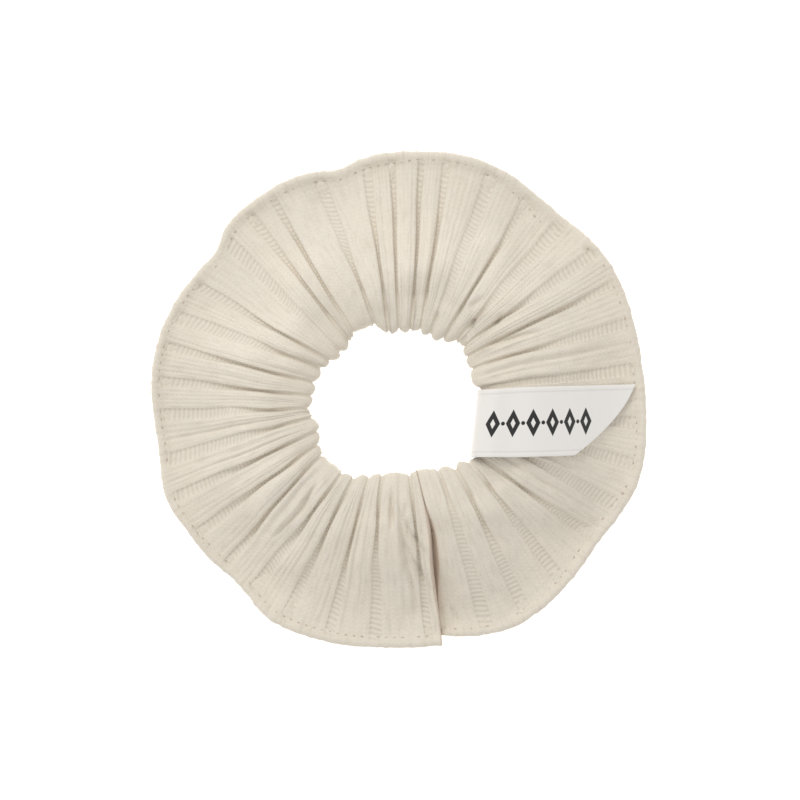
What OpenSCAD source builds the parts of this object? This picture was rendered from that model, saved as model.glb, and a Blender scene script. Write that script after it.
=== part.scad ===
// Rib-knit scrunchie: a folded strip of rib knit gathered on a loop of flat elastic, with a
// satin ribbon label over its inner edge. The ring lies flat, +Z up, centre of the hole at the
// origin and the back of the cloth on z = 0. The label lies along +X.

/* [Cover] */
// Overall diameter across the rim
rim_d = 120; // [110:1:144]
// Diameter of the hole, lying relaxed
hole_d = 40; // [34:0.5:48]
// Height of the fullest part of the ring above its back
crown_h = 15; // [13:0.5:18]
// Distance from the edge of the hole out to the fullest part
crown_in = 11; // [9:0.5:13]
// Thickness of one gathered layer of the knit
cloth_t = 1.8; // [1.5:0.1:2.2]
// Thickness of the bunched cloth between the hole and the elastic
fold_t = 4.8; // [4:0.1:6]
// Height of the upright band of cloth round the hole
band_h = 6; // [4:0.5:7]
// Height of the middle of that band above the back of the ring
band_z = 7.5; // [6:0.5:8]

/* [Hem] */
// Width of the flat hem round the rim
hem_w = 3; // [2.4:0.1:4]
// Thickness of the hem, two layers pressed together
hem_t = 2.6; // [2:0.1:3.2]
// Height of the underside of the hem above the back of the ring
hem_z = 0.8; // [0.7:0.1:1.5]

/* [Elastic] */
// Width of the flat elastic
elastic_w = 6; // [4:0.5:7.5]
// Thickness of the flat elastic
elastic_t = 1; // [0.8:0.1:1.3]
// Length over which the two ends of the elastic are lapped
lap_l = 12; // [8:0.5:16]

/* [Ribbon label] */
// Width of the satin ribbon
ribbon_w = 16; // [12:0.5:20]
// Thickness of the satin ribbon
ribbon_t = 0.4; // [0.3:0.05:0.5]
// Sideways place of the middle of the ribbon
ribbon_y = -5; // [-6:0.5:0]
// Length of the free leg from the hole to its longer corner
ribbon_long = 37; // [30:1:40]
// Length of the free leg from the hole to its shorter corner
ribbon_short = 23; // [16:1:26]
// Length of the sewn leg under the ring
ribbon_back = 20; // [14:1:26]

/* [Closing seam] */
// Direction of the seam that joins the ends of the strip, in degrees from +X
seam_angle = -80.5; // [-82:0.5:-70]
// Width of the cleft that the seam pulls into the cloth
cleft_w = 1; // [0.8:0.1:1.6]
// Distance from the hole to the inner end of the cleft
cleft_in = 12; // [9:0.5:16]

/* [Thread] */
// Diameter of the sewing thread
thread_d = 0.4; // [0.3:0.05:0.5]
// Length of one stitch
stitch_l = 1.8; // [1.4:0.1:2.2]
// Distance from one stitch to the next
stitch_pitch = 3; // [2.6:0.1:4]

/* [Hidden] */
$fn = 96;

knit = [0.86, 0.80, 0.68];
knit_shade = [0.80, 0.74, 0.61];
satin = [0.93, 0.92, 0.90];
rubber_white = [0.96, 0.96, 0.94];
thread = [0.74, 0.62, 0.48];
thread_back = [0.78, 0.70, 0.58];

// Gap between the two halves of the ring, and the play left round soft pieces
half_gap = 0.3;
play = 0.2;
touch = 0.05;
over = 1;

rim_r = rim_d / 2;
hole_r = hole_d / 2;
crown_r = hole_r + crown_in;
hem_r = rim_r - hem_w;
hem_top = hem_z + hem_t;
band_top = band_z + band_h / 2;
band_low = band_z - band_h / 2;
heel_r = hole_r + band_low;
stitch_r = hem_r + thread_d;

// Ribbon: its upright leg stands just outside the hole, in a channel across the fold
ribbon_x = hole_r + touch;
channel_x = ribbon_x + ribbon_t + play;
channel_y0 = ribbon_y - ribbon_w / 2 - play;
channel_y1 = ribbon_y + ribbon_w / 2 + play;
channel_far_y = max(abs(channel_y0), abs(channel_y1));
sole_z = thread_d + 2 * touch;
recess_z = sole_z + ribbon_t + play;

// The elastic lies behind the bunched fold, clear of the ribbon's channel
fold_r = max(hole_r + fold_t, norm([channel_x, channel_far_y]) + cloth_t / 3);
elastic_r = fold_r + play;

steps = 12;

// Height of the front of the cloth at radius r: a quarter ellipse up to the crown, then a
// half wave down to the hem
function front_z(r) =
    r < crown_r
    ? band_top + (crown_h - band_top) * sqrt(max(0, 1 - pow((crown_r - r) / crown_in, 2)))
    : hem_top + (crown_h - hem_top) * (1 + cos(180 * min(1, (r - crown_r) / (hem_r - crown_r)))) / 2;

// Height of the back of the cloth at radius r, a quarter circle up to the band
function heel_z(r) = band_low * (1 - sqrt(max(0, 1 - pow((heel_r - r) / band_low, 2))));

// Radius at which the front comes down to height z
function slope_r(z) =
    crown_r + (hem_r - crown_r) * acos(max(-1, 2 * (z - hem_top) / (crown_h - hem_top) - 1)) / 180;

// Height of the highest cloth under the ribbon at distance x, over the ribbon's whole width
function under_ribbon_z(x) =
    norm([x, channel_far_y]) < crown_r
    ? front_z(norm([x, channel_far_y]))
    : front_z(max(x, crown_r));

function between(a, b, n) = [for (i = [0:n]) a + (b - a) * i / n];

// Unit vector from point a to point b
function heading(a, b) = (b - a) / norm(b - a);

// Points beside a line of points, at distance d to its left
function beside(p, d) = [
    for (i = [0:len(p) - 1])
        let (
            h0 = heading(p[max(0, i - 1)], p[max(1, i)]),
            h1 = heading(p[min(i, len(p) - 2)], p[min(i + 1, len(p) - 1)]),
            h = (h0 + h1) / 2
        )
        p[i] + d * [-h[1], h[0]] / (h * h)
];

function reversed(p) = [for (i = [len(p) - 1:-1:0]) p[i]];

// Outline of a strip of thickness t whose middle follows a line of points
module strip(p, t) {
    polygon(concat(beside(p, t / 2), reversed(beside(p, -t / 2))));
}

// Section of the whole ring, from the hole to the rim
module ring_outline() {
    polygon(concat(
        [for (r = between(hole_r, crown_r, steps)) [r, front_z(r)]],
        [for (r = between(crown_r + (hem_r - crown_r) / steps, hem_r, steps)) [r, front_z(r)]],
        [[rim_r, hem_top], [rim_r, hem_z], [hem_r, hem_z], [hem_r - hem_w, 0]],
        [for (r = between(heel_r, hole_r, steps)) [r, heel_z(r)]]
    ));
}

// Section of the hollow between the front and back layers of the cloth
module hollow_outline() {
    end_r = slope_r(2 * cloth_t + play);
    polygon(concat(
        [for (r = between(fold_r, end_r, 2 * steps)) [r, front_z(r) - cloth_t]],
        [[end_r, cloth_t], [fold_r, cloth_t]]
    ));
}

// Where the strip's two ends turn in: a doubled wall inside the hollow, cleft from the front
module seam_wall() {
    rotate([0, 0, seam_angle])
        translate([hole_r + cleft_in - cloth_t, -cloth_t - cleft_w / 2, 0])
            cube([rim_r, 2 * cloth_t + cleft_w, crown_h]);
}

module seam_cleft() {
    rotate([0, 0, seam_angle])
        translate([hole_r + cleft_in, -cleft_w / 2, hem_z + hem_t / 2])
            cube([rim_r, cleft_w, crown_h]);
}

module ribbon_channel() {
    translate([0, channel_y0, -over])
        cube([channel_x, channel_y1 - channel_y0, crown_h + 2 * over]);
    translate([0, channel_y0, -over])
        cube([ribbon_x + ribbon_back + play, channel_y1 - channel_y0, over + recess_z]);
}

// One side of the ring: side is -1 for -X and 1 for +X
module half_space(side) {
    translate([side > 0 ? half_gap / 2 : -rim_r - over - half_gap / 2, -rim_r - over, -over])
        cube([rim_r + over, 2 * (rim_r + over), crown_h + 2 * over]);
}

module cover_shell() {
    difference() {
        rotate_extrude() ring_outline();
        rotate_extrude() hollow_outline();
    }
}

// Left half of the knit strip
module cover_left() {
    color(knit) intersection() {
        cover_shell();
        half_space(-1);
    }
}

// Right half of the knit strip, with the closing seam and the ribbon's channel
module cover_right() {
    color(knit_shade) difference() {
        intersection() {
            union() {
                cover_shell();
                intersection() {
                    rotate_extrude() ring_outline();
                    seam_wall();
                }
            }
            half_space(1);
        }
        seam_cleft();
        ribbon_channel();
    }
}

// Flat elastic closed into a loop, its ends lapped on the side away from the label
module elastic_band() {
    lap_angle = lap_l / (elastic_r + elastic_t) * 180 / PI;
    color(rubber_white) translate([0, 0, band_z - elastic_w / 2]) {
        rotate_extrude()
            translate([elastic_r, 0])
                square([elastic_t, elastic_w]);
        rotate([0, 0, 180 - lap_angle / 2])
            rotate_extrude(angle = lap_angle)
                translate([elastic_r + elastic_t - touch, 0])
                    square([elastic_t + touch, elastic_w]);
    }
}

// A straight stitch of thread between two points
module stitch(a, b) {
    d = b - a;
    translate(a)
        rotate([0, acos(d[2] / norm(d)), atan2(d[1], d[0])])
            cylinder(h = norm(d), d = thread_d, $fn = 16);
}

// Zigzag that holds the lap of the elastic, on its outer face
module elastic_lap_stitch() {
    r = elastic_r + 2 * elastic_t + thread_d / 2 + touch;
    count = 2 * floor(lap_l / stitch_pitch);
    pitch_angle = stitch_pitch / 2 / r * 180 / PI;
    reach = elastic_w / 2 - thread_d;
    color(thread) for (i = [0:count - 1]) {
        a0 = 180 + (i - count / 2 + 0.1) * pitch_angle;
        a1 = 180 + (i - count / 2 + 0.9) * pitch_angle;
        s = i % 2 == 0 ? 1 : -1;
        stitch([r * cos(a0), r * sin(a0), band_z - s * reach],
               [r * cos(a1), r * sin(a1), band_z + s * reach]);
    }
}

// A row of stitches round one half of the hem at height z; start is the row's first angle.
// The row leaves out what would bridge the cleft when skip is true
module rim_row(start, z, skip) {
    count = floor(PI * stitch_r / stitch_pitch);
    reach = asin((stitch_l + cleft_w) / 2 / stitch_r);
    for (i = [0:count - 1]) {
        a = start + (i + 0.5) * 180 / count;
        if (!(skip && abs(a - 360 - seam_angle) < reach))
            rotate([0, 0, a])
                stitch([stitch_r, -stitch_l / 2, z], [stitch_r, stitch_l / 2, z]);
    }
}

front_row_z = hem_top + thread_d / 2 + touch;
back_row_z = hem_z - thread_d / 2 - touch;

module rim_stitch_front_left() { color(thread) rim_row(90, front_row_z, false); }
module rim_stitch_front_right() { color(thread) rim_row(270, front_row_z, true); }
module rim_stitch_back_left() { color(thread_back) rim_row(90, back_row_z, false); }
module rim_stitch_back_right() { color(thread_back) rim_row(270, back_row_z, false); }

// Stitches that close the strip's ends, lying in the bottom of the cleft
module closing_seam_stitch() {
    z = hem_z + hem_t / 2 + thread_d / 2 + touch;
    first = hole_r + cleft_in + stitch_pitch / 2;
    count = floor((stitch_r - stitch_pitch - first) / stitch_pitch) + 1;
    color(thread) rotate([0, 0, seam_angle])
        for (i = [0:count - 1])
            stitch([first + i * stitch_pitch, 0, z],
                   [first + i * stitch_pitch + stitch_l, 0, z]);
}

// The ribbon's fold line, where the free leg lifts
fold_gap = 0.9;
fold_x = ribbon_x + ribbon_t / 2;
fold_z = under_ribbon_z(channel_x) + play;

// Middle of the free leg, over the crown and down towards the rim
free_line = concat(
    [for (x = between(channel_x, crown_r, 5)) [x, under_ribbon_z(x) + 1.5 * play + ribbon_t / 2]],
    [for (x = between(crown_r + 3, ribbon_x + ribbon_long, 8)) [x, under_ribbon_z(x) + 1.5 * play + ribbon_t / 2]]
);

// Free leg of the ribbon, cut on a slant
module ribbon_front() {
    color(satin) intersection() {
        translate([0, ribbon_y + ribbon_w / 2, 0])
            rotate([90, 0, 0])
                linear_extrude(ribbon_w)
                    strip(concat([[fold_x, fold_z] + fold_gap / 2 * heading([fold_x, fold_z], free_line[1])],
                                 [for (i = [1:len(free_line) - 1]) free_line[i]]), ribbon_t);
        linear_extrude(2 * crown_h)
            polygon([
                [0, ribbon_y - ribbon_w],
                [ribbon_x + ribbon_short, ribbon_y - ribbon_w / 2],
                [ribbon_x + ribbon_long, ribbon_y + ribbon_w / 2],
                [0, ribbon_y + ribbon_w]
            ]);
    }
}

// Upright part of the ribbon in the hole and its sewn leg under the ring
module ribbon_back_leg() {
    bend = 2 * ribbon_t;
    low = sole_z + ribbon_t / 2;
    color(satin)
        translate([0, ribbon_y + ribbon_w / 2, 0])
            rotate([90, 0, 0])
                linear_extrude(ribbon_w)
                    strip(concat(
                        [[fold_x, fold_z - fold_gap / 2]],
                        [for (a = between(180, 270, 4))
                            [fold_x + bend + bend * cos(a), low + bend + bend * sin(a)]],
                        [[ribbon_x + ribbon_back, low]]
                    ), ribbon_t);
}

// Row of stitches across the sewn leg
module ribbon_tack_stitch() {
    z = sole_z - thread_d / 2 - touch;
    count = floor(ribbon_w / stitch_pitch);
    x = ribbon_x + ribbon_back - 2 * stitch_l;
    color(thread_back) for (i = [0:count - 1]) {
        y = ribbon_y + (i - (count - 1) / 2) * stitch_pitch;
        stitch([x, y - stitch_l / 2, z], [x, y + stitch_l / 2, z]);
    }
}

cover_left();
cover_right();
elastic_band();
elastic_lap_stitch();
rim_stitch_front_left();
rim_stitch_front_right();
rim_stitch_back_left();
rim_stitch_back_right();
closing_seam_stitch();
ribbon_front();
ribbon_back_leg();
ribbon_tack_stitch();
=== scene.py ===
"""Looks of the scrunchie: a gathered ring of rib knit, its elastic, its threads and its satin label."""

import bpy
import numpy as np
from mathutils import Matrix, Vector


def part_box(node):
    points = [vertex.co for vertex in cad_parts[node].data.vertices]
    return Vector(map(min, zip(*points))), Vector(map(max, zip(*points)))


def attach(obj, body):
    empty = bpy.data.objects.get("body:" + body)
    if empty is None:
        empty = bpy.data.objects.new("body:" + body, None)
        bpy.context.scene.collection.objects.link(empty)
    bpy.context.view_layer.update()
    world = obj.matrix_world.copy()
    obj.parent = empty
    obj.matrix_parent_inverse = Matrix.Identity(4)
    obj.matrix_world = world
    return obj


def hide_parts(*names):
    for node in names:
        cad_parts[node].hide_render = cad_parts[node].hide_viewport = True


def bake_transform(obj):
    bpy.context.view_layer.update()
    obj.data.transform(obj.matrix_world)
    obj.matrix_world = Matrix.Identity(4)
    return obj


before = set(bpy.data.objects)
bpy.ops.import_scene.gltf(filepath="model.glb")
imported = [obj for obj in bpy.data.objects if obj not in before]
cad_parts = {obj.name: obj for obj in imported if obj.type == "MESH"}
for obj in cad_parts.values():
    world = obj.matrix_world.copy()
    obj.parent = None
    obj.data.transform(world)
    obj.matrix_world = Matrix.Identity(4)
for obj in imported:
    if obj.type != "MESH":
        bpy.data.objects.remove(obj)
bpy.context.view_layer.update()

MM = 0.001

# The ring's cut at a mean hole and rim, in mm. The same sizes as the CAD part.
RIM_R = 60.0
HOLE_R = 20.0
CROWN_R = 31.0
CROWN_Z = 15.0
BAND_TOP = 10.5
BAND_LOW = 4.5
HEM_IN = 57.0
HEM_TOP = 3.4
HEM_LOW = 0.8
FLAT_OUT = 54.0
HEM_EDGE = 0.8
SPLIT_R = 28.0

# The elastic: its middle height, width and thickness, its distance where the hole's radius is FIT_R, and
# the length and distance of the lap
BAND_MID = (BAND_TOP + BAND_LOW) / 2
BAND_W = BAND_TOP - BAND_LOW
BAND_T = 1.0
BAND_R = 25.8
FIT_R = 19.3
LAP_LONG = 12.0
LAP_R = 27.4

# The ribbon: width, thickness, the middle of its width, where its back leg ends, where it stands up at the
# hole's edge, how high it stands there, the rounds below and above, and where its slanted end is
LABEL_W = 16.4
LABEL_T = 0.35
LABEL_Y = -5.2
LEG_END = 39.5
UPRIGHT_X = 18.3
UPRIGHT_TOP = 11.3
HEEL_R = 1.3
BEND_OUT = 5.2
BEND_UP = 4.3
TIP_X = 50.0
LABEL_UV = 20.0

# The cloth: its thickness, how deep an open ladder and a slot lie, how round an open and a gathered rib
# are, how far a pinched rib sinks, its wales, the height of a row of loops, and its cut size
CLOTH_T = 1.1
LADDER_DEEP = 0.45
SLOT_DEEP = 1.1
RIB_FLAT = 0.18
RIB_ROUND = 1.0
PINCH = 0.9
WALES = 5
WALE_DEEP = 0.1
COURSE = 1.1

# The hem's stitches: pitch and the groove they pull into the cloth
HEM_PITCH = 2.0
HEM_GROOVE = 0.14

# How far the right lip of the closing seam lies low, the left one high, and how far the label's back leg
# presses into the underside
LIP_LOW = 0.9
LIP_HIGH = 0.7
LABEL_PRESS = 1.15

# One repeat of the cloth is a rib with half a ladder on each side: the shares of the two, the share of a
# rib that is left at the seam's left lip, and the length of cloth that one unit along it stands for
HALF_LADDER = 0.19
RIB_SHARE = 0.62
LIP_SHARE = 0.25
UV_MM = 100.0

# Each ladder stripe of the knit, going round from the closing seam: its angle at the rim, its angle
# at the hole, and the share of the way in where it starts to fold into a slot.
LADDERS = [
    (-69, -61, 0.75), (-59, -50.5, 0.5), (-48, -41, 0.55), (-35, -34.5, 0.4),
    (-25.5, -22, 0.6), (-15, -11, 0.5), (-5, -3, 0.5), (8, 9.4, 1.0),
    (19, 24.8, 0.48), (29, 34, 0.2), (37.5, 41, 0.5), (48, 47.5, 0.7),
    (58, 56, 0.25), (68, 66, 1.0), (79, 74.5, 0.2), (85, 81.8, 0.1),
    (92, 91, 0.1), (98, 99, 0.3), (110, 108, 0.5), (122, 124, 0.15),
    (128.6, 129.7, 0.3), (137, 140, 1.0), (150, 149.5, 0.35), (159, 156.5, 0.6),
    (166.5, 167.5, 0.3), (175, 176, 0.35), (183, 184, 0.55), (194, 190, 0.6),
    (203, 199.5, 0.4), (213, 207.5, 0.35), (223, 214, 0.2), (232, 231, 0.45),
    (242, 238.5, 0.4), (253, 248, 0.35), (264, 256, 0.5), (277, 277.5, 0.3),
]
# The two lips of the closing seam by share of the way in: their angle, and the depth between them
LIP_RIGHT = [
    (0, -79.7), (0.15, -79.4), (0.33, -77.6), (0.45, -76.1), (0.62, -74.9), (0.8, -76), (1, -76.2),
]
LIP_LEFT = [
    (0, 279.6), (0.15, 280.1), (0.33, 280.1), (0.45, 280.5), (0.62, 282.4), (0.8, 283.3), (1, 283.4),
]
SEAM_DEEP = [
    (0, 0.5), (0.1, 0.7), (0.15, 0.9), (0.25, 1.8), (0.33, 2.8), (0.45, 3.4), (0.58, 3.0), (0.68, 1.2),
    (0.8, 0.5), (1, 0.5),
]

# Radius of the rim and of the hole, by angle
RIM = [
    (-79.7, 58.3), (-75, 59.7), (-68, 61.3), (-62, 62.0), (-55, 61.6), (-45, 60.6),
    (-35, 59.8), (-28, 60.6), (-20, 61.7), (-12, 61.5), (-5, 60.8), (8, 60.2),
    (17, 60.6), (25, 61.3), (35, 61.8), (42, 61.3), (50, 60.6), (56, 61.0),
    (64, 62.1), (76, 62.5), (85, 61.8), (95, 61.2), (100, 60.4), (105, 59.1),
    (110, 60.3), (116, 61.1), (124, 61.2), (131, 61.2), (136, 60.4), (140, 58.6),
    (146, 59.0), (155, 60.4), (165, 61.3), (175, 61.3), (182, 60.8), (190, 60.4),
    (196, 61.2), (202, 62.1), (210, 61.2), (220, 60.6), (228, 59.9), (232, 60.6),
    (236, 61.8), (250, 61.8), (258, 61.2), (266, 60.5), (276, 60.4), (280, 60.6),
]
HOLE = [
    (-76, 16.1), (-70, 16.0), (-64, 16.6), (-56, 17.8), (-50, 19.1), (-44, 19.7),
    (-36, 21.6), (-30, 21.7), (-20, 20.5), (-10, 19.8), (0, 19.4), (8, 18.8),
    (13, 18.0), (20, 17.6), (26, 17.7), (33, 17.9), (40, 19.0), (45, 19.1),
    (52, 17.8), (60, 16.6), (67, 16.6), (75, 16.7), (83, 16.0), (90, 15.9),
    (95, 15.1), (100, 15.2), (106, 17.0), (112, 18.5), (118, 19.0), (124, 18.8),
    (130, 17.7), (136, 17.2), (145, 17.6), (152, 18.8), (160, 19.7), (170, 20.2),
    (178, 20.3), (185, 21.0), (191, 20.2), (200, 19.6), (205, 20.2), (211, 20.9),
    (222, 20.8), (230, 20.4), (238, 19.8), (245, 18.5), (253, 17.2), (260, 16.5),
    (268, 16.2), (276, 16.1), (284, 16.1),
]
# How far the rim lifts off the table
LIFT = [
    (-79.7, 0.0), (-70, 0.6), (-55, 1.8), (-35, 0.2), (-15, 1.6), (5, 0.4), (25, 1.2), (38, 2.2),
    (48, 0.4), (72, 2.4), (104, 0.3), (122, 2.0), (140, 0.2), (165, 1.8), (190, 0.5), (205, 2.0),
    (230, 0.2), (240, 1.8), (262, 0.8), (280, 2.1),
]
# Width of the hem outside its stitches
FLANGE = [
    (-80, 2.2), (-40, 2.8), (-10, 2.6), (20, 2.2), (30, 2.1), (36, 1.7), (39.5, 2.2), (43, 4.1),
    (50, 4.4), (56, 4.1), (64, 3.0), (100, 2.6), (140, 2.3), (200, 1.9), (240, 2.6), (280, 2.5),
]
# Creases laid across the ribs: points in mm, half width and depth
CREASES = [
    ([(1.3, -23.7), (0.6, -27.9), (2.2, -32.4), (5.5, -36.3), (7.6, -39.8)], 0.6, 1.3),
    ([(0.6, -34.9), (3.0, -38.7), (5.9, -44), (8.3, -47.5)], 0.65, 1.2),
    ([(-0.4, -28.9), (0.3, -33.1), (1.6, -39.8), (3.7, -47.5), (4.2, -54.1)], 0.6, 1.2),
    ([(-1.6, -20), (-2.2, -26), (-2.4, -32)], 0.5, 1.3),
    ([(-31.4, -33.6), (-24.6, -26.8), (-18.4, -16.8)], 0.6, 1.3),
    ([(45, 38), (46.8, 36.6), (48.6, 35)], 0.6, 1.0),
    ([(20.1, 25.4), (18, 23.9), (16.5, 22.4)], 0.8, 1.2),
    ([(17.4, 19.7), (16.2, 17.3), (15.6, 15.5)], 0.7, 1.3),
    ([(25.2, 21.5), (23.7, 19.4), (22.5, 18.2)], 0.7, 1.2),
    ([(8.5, 20.6), (8.1, 18.5), (7.8, 16.8)], 0.6, 1.2),
    ([(35.1, 17.6), (29.1, 16.1), (23.1, 14), (19.5, 13.1)], 0.6, 1.0),
    ([(12.2, -50), (13.2, -52.4), (14.2, -54.6)], 0.5, 0.7),
]
# Soft hollows and swellings: centre, half width and height
SWELLS = [
    ((22, 22.4), 4.5, 1.05),
    ((22, -28), 5.0, 0.9),
    ((-33, 21), 6.0, -1.35),
    ((24, -31), 4.5, -1.35),
    ((31, -23), 4.0, -1.05),
    ((-28, -28), 6.0, 0.9),
    ((-10, 36), 6.0, -0.9),
    ((10, 34), 6.0, 0.75),
]


def ease(x, low, high):
    """0 up to low, 1 from high, and between them 3 s squared less 2 s cubed of the share s of the way."""
    s = np.clip((x - low) / (high - low), 0, 1)
    return s * s * (3 - 2 * s)


def through(pairs, x):
    """A smooth line through (place, value) pairs: cubic pieces that share their slope where they meet."""
    at, value = np.array(pairs, float).T
    slope = np.gradient(value, at)
    x = np.clip(x, at[0], at[-1])
    i = np.clip(np.searchsorted(at, x) - 1, 0, len(at) - 2)
    h = at[i + 1] - at[i]
    s = (x - at[i]) / h
    start = (2 * s**3 - 3 * s**2 + 1) * value[i] + (s**3 - 2 * s**2 + s) * h * slope[i]
    return start + (3 * s**2 - 2 * s**3) * value[i + 1] + (s**3 - s**2) * h * slope[i + 1]


def drift(x, y, size, seed):
    """Soft hills between -1 and 1: random heights on a square grid of that size, eased between them."""
    heights = np.random.default_rng(seed).uniform(-1, 1, (64, 64))
    gx, gy = np.broadcast_arrays(np.asarray(x, float) / size, np.asarray(y, float) / size)
    ix, iy = np.floor(gx).astype(int), np.floor(gy).astype(int)
    fx, fy = ease(gx - ix, 0, 1), ease(gy - iy, 0, 1)
    low = heights[ix % 64, iy % 64] * (1 - fx) + heights[(ix + 1) % 64, iy % 64] * fx
    high = heights[ix % 64, (iy + 1) % 64] * (1 - fx) + heights[(ix + 1) % 64, (iy + 1) % 64] * fx
    return low * (1 - fy) + high * fy


def around(away, angle, high):
    """Points of a ring: the distance from the middle times the angle's cosine and sine, and the height."""
    return np.stack(np.broadcast_arrays(away * np.cos(angle), away * np.sin(angle), high), axis=-1)


def front_height(r):
    """Height of the front over the table: a quarter ellipse at the hole, then a half cosine to the hem."""
    ellipse = BAND_TOP + (CROWN_Z - BAND_TOP) * np.sqrt(
        np.clip(1 - ((CROWN_R - r) / (CROWN_R - HOLE_R)) ** 2, 0, 1)
    )
    half_wave = (1 + np.cos(np.pi * np.clip((r - CROWN_R) / (HEM_IN - CROWN_R), 0, 1))) / 2
    return np.where(r < CROWN_R, ellipse, HEM_TOP + (CROWN_Z - HEM_TOP) * half_wave)


def walked(pieces):
    """Lines given as pairs of rows, joined end to end without the points that are there twice: the two rows
    and the length up to each point, which is the sum of the straight steps."""
    x, z = np.concatenate(pieces, axis=1)
    keep = np.r_[True, np.hypot(np.diff(x), np.diff(z)) > 1e-6]
    x, z = x[keep], z[keep]
    return x, z, np.r_[0, np.cumsum(np.hypot(np.diff(x), np.diff(z)))]


def follow(x, z, long, at, step):
    """The place on a walked line at some lengths, and its direction there, which is the straight one from a
    step before to a step after, one long."""
    before, after = np.clip(at - step, 0, long[-1]), np.clip(at + step, 0, long[-1])
    dx = np.interp(after, long, x) - np.interp(before, long, x)
    dz = np.interp(after, long, z) - np.interp(before, long, z)
    size = np.hypot(dx, dz)
    return np.interp(at, long, x), np.interp(at, long, z), dx / size, dz / size


def ring_cut():
    """The ring's cut as (radius, height) pairs, walked from the rim over the front, down the hole's edge
    and back out under the ring: straight and round pieces joined end to end, 0.05 mm apart."""
    turn = np.linspace(0, np.pi / 2, 120)
    out_turn = np.linspace(0, np.pi / 2, 30)
    slope_r = np.linspace(HEM_IN, CROWN_R, 600)
    mid = (HEM_TOP + HEM_LOW) / 2
    half = (HEM_TOP - HEM_LOW) / 2
    flat_r = RIM_R - HEM_EDGE
    pieces = [
        (flat_r + HEM_EDGE * np.cos(out_turn), mid + half * np.sin(out_turn)),
        (np.linspace(flat_r, HEM_IN, 40), np.full(40, HEM_TOP)),
        (slope_r, front_height(slope_r)),
        (CROWN_R - (CROWN_R - HOLE_R) * np.sin(turn), BAND_TOP + (CROWN_Z - BAND_TOP) * np.cos(turn)),
        (np.full(100, HOLE_R), np.linspace(BAND_TOP, BAND_LOW, 100)),
        (HOLE_R + BAND_LOW * (1 - np.cos(turn)), BAND_LOW * (1 - np.sin(turn))),
        (np.linspace(HOLE_R + BAND_LOW, FLAT_OUT, 500), np.zeros(500)),
        (np.linspace(FLAT_OUT, HEM_IN, 50), HEM_LOW * ease(np.linspace(0, 1, 50), 0, 1)),
        (np.linspace(HEM_IN, flat_r, 40), np.full(40, HEM_LOW)),
        (flat_r + HEM_EDGE * np.sin(out_turn), mid - half * np.cos(out_turn)),
    ]
    r, z, t = walked(pieces)
    even = np.arange(0, t[-1], 0.05)
    return np.interp(even, t, r), np.interp(even, t, z), even


CUT_R, CUT_Z, CUT_T = ring_cut()
T_END = CUT_T[-1]
T_HOLE = CUT_T[np.argmax(CUT_R < HOLE_R + 0.01)]
T_SPLIT = np.interp(SPLIT_R, CUT_R[CUT_T > T_HOLE + 8], CUT_T[CUT_T > T_HOLE + 8])
T_CROWN = CUT_T[np.argmax(CUT_Z)]


def cut_at(t):
    """Radius, height and outward direction of the cut at the walked lengths t. Near the hole the
    direction fans out from a point inside the roll, so that deep folds never cross."""
    r, z, along_r, along_z = follow(CUT_R, CUT_Z, CUT_T, t, 0.4)
    fan_r, fan_z = r - CROWN_R, z - CROWN_Z / 2
    long = np.hypot(fan_r, fan_z)
    share = 1 - ease(r, CROWN_R, CROWN_R + 5)
    out_r = along_z * (1 - share) + fan_r / long * share
    out_z = -along_r * (1 - share) + fan_z / long * share
    long = np.hypot(out_r, out_z)
    return r, z, out_r / long, out_z / long


def shares(t):
    """Share of the way in from the rim to the hole, and how far the walk has turned to the back."""
    r = cut_at(t)[0]
    return np.clip((RIM_R - r) / (RIM_R - HOLE_R), 0, 1), ease(t, T_HOLE, T_HOLE + 10)


def zones(t):
    """Shares at the walked lengths t: round the hole's edge, beneath the ring, half way over the front, and
    clear of the hem."""
    inward, behind = shares(t)
    at_hole = ease(t, T_HOLE - 6, T_HOLE - 1) * (1 - ease(t, T_HOLE + 7, T_HOLE + 11))
    beneath = ease(t, T_HOLE + 8, T_HOLE + 12) * (1 - ease(t, T_END - 16, T_END - 6))
    mid_way = ease(inward, 0.15, 0.4) * (1 - ease(inward, 0.7, 0.95)) * (1 - behind)
    return at_hole, beneath, mid_way, ease(RIM_R - cut_at(t)[0], 1.0, 3.6)


def placed(r, angle):
    """Distance from the middle of a place on the cut, when the cut is stretched to the hole and the rim at
    that angle in degrees."""
    hole_r, rim_r = through(HOLE, angle), through(RIM, angle)
    return hole_r + (r - HOLE_R) / (RIM_R - HOLE_R) * (rim_r - hole_r)


# Columns of the cover's grid: blocks of cloth between neighbouring edge lines, and the share of the way
# across. Block 0 and the last one are the walls of the closing seam. Ribs and ladders take turns between
# them. The inner face of the cover has one column for every COARSE of these.
BLOCKS = [10, 25] * len(LADDERS) + [10, 10, 10]
BLOCK = np.repeat(np.arange(len(BLOCKS)), BLOCKS)
SHARE = np.concatenate([np.arange(n) / n for n in BLOCKS])[:, None]
COARSE = 5
RIBS = np.arange(1, len(BLOCKS), 2)
RIB = np.clip((BLOCK - 1) // 2, 0, len(RIBS) - 1)
LADDER = np.clip((BLOCK - 2) // 2, 0, len(LADDERS) - 1)
ON_RIB = (BLOCK % 2 == 1)[:, None]
RIGHT_WALL, LEFT_WALL = (BLOCK == 0)[:, None], (BLOCK == len(BLOCKS) - 1)[:, None]
RIGHT_LIP, LEFT_LIP = (BLOCK == 1)[:, None], (BLOCK == len(BLOCKS) - 2)[:, None]
# 0 on a rib's middle line and 1 at its edges; the rib at each lip of the seam has its middle line there
FROM_MIDDLE = np.where(RIGHT_LIP, SHARE, np.where(LEFT_LIP, 1 - SHARE, np.abs(2 * SHARE - 1)))


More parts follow.
